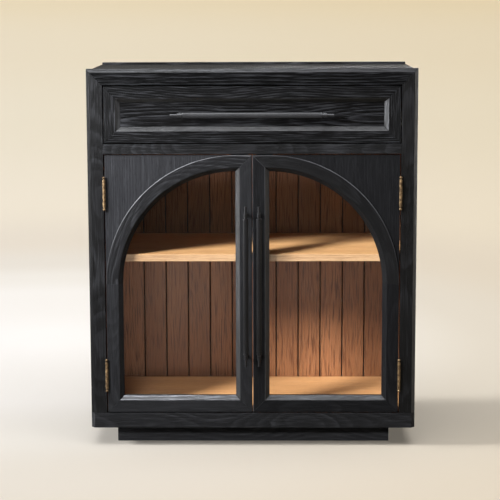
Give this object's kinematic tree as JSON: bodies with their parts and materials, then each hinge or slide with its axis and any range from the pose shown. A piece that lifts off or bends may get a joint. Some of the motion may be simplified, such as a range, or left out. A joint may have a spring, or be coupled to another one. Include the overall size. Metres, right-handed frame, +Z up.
{
  "type": "apothecary cabinet",
  "caption": "Black oak cabinet with an inset drawer over two arched glass doors, a natural oak interior with an adjustable shelf, bar pulls and a recessed plinth.",
  "frame": {"origin": "centre of the bounding box's bottom face, on the floor", "axes": "+Z up, +X to the right seen from the front, +Y from the front towards the back; the doors and drawer face -Y"},
  "size_m": [0.914, 0.4984, 1.064],
  "materials": {
    "black_oak": "matte black stain over open grain",
    "natural_oak": "satin clear lacquer",
    "glass": "clear float glass",
    "antique_brass": "antiqued, satin",
    "black_metal": "satin black",
    "steel": "zinc plated"
  },
  "bodies": {
    "case": {"face_left_stile": "black_oak", "face_right_stile": "black_oak", "face_top_rail": "black_oak", "face_divider_rail": "black_oak", "face_bottom_rail": "black_oak", "left_side_panel": "black_oak", "right_side_panel": "black_oak", "top_panel": "black_oak", "drawer_deck": "natural_oak", "floor_panel": "natural_oak", "rear_top_rail": "black_oak", "rear_bottom_rail": "black_oak", "rear_stiles": "black_oak", "back_planks": "natural_oak", "shelf": "natural_oak", "shelf_pins": "steel", "plinth_long_rails": "black_oak", "plinth_side_rails": "black_oak", "plinth_corner_blocks": "natural_oak", "door_catches": "black_metal", "slide_spacers": "natural_oak", "slide_outer_members": "steel", "hinge_frame_leaves": "antique_brass", "hinge_pins": "antique_brass", "frame_hinge_screws": "antique_brass"},
    "slide_middle": {"slide_middle_members": "steel"},
    "drawer": {"drawer_front_rails": "black_oak", "drawer_front_stiles": "black_oak", "drawer_front_panel": "black_oak", "drawer_box_ends": "natural_oak", "drawer_box_sides": "natural_oak", "drawer_bottom": "natural_oak", "slide_inner_members": "steel", "drawer_pull_grip": "black_metal", "drawer_pull_rod": "black_metal", "drawer_pull_posts": "black_metal"},
    "left_door": {"left_door_hinge_stile": "black_oak", "left_door_meeting_stile": "black_oak", "left_door_bottom_rail": "black_oak", "left_door_arch_rail": "black_oak", "left_door_spandrel": "black_oak", "left_door_glass": "glass", "left_door_glass_beads": "black_oak", "left_door_hinge_leaves": "antique_brass", "left_door_hinge_screws": "antique_brass", "left_door_pull_grip": "black_metal", "left_door_pull_rod": "black_metal", "left_door_pull_posts": "black_metal"},
    "right_door": {"right_door_hinge_stile": "black_oak", "right_door_meeting_stile": "black_oak", "right_door_bottom_rail": "black_oak", "right_door_arch_rail": "black_oak", "right_door_spandrel": "black_oak", "right_door_glass": "glass", "right_door_glass_beads": "black_oak", "right_door_hinge_leaves": "antique_brass", "right_door_hinge_screws": "antique_brass", "right_door_pull_grip": "black_metal", "right_door_pull_rod": "black_metal", "right_door_pull_posts": "black_metal"}
  },
  "joints": [
    {"name": "left_door_hinge", "type": "hinge", "parent": "case", "child": "left_door", "pos_m": [-0.4105, -0.21215, 0.462], "axis": [0, 0, -1], "range_deg": [0, 110]},
    {"name": "right_door_hinge", "type": "hinge", "parent": "case", "child": "right_door", "pos_m": [0.4105, -0.21215, 0.462], "axis": [0, 0, 1], "range_deg": [0, 110]},
    {"name": "drawer_slide", "type": "slide", "parent": "case", "child": "drawer", "axis": [0, -1, 0], "range_m": [0, 0.34]},
    {"name": "slide_middle_travel", "type": "slide", "parent": "case", "child": "slide_middle", "axis": [0, -1, 0], "range_m": [0, 0.17]}
  ],
  "couplings": [
    {"joint": "slide_middle_travel", "follows": "drawer_slide", "ratio": 0.5}
  ]
}
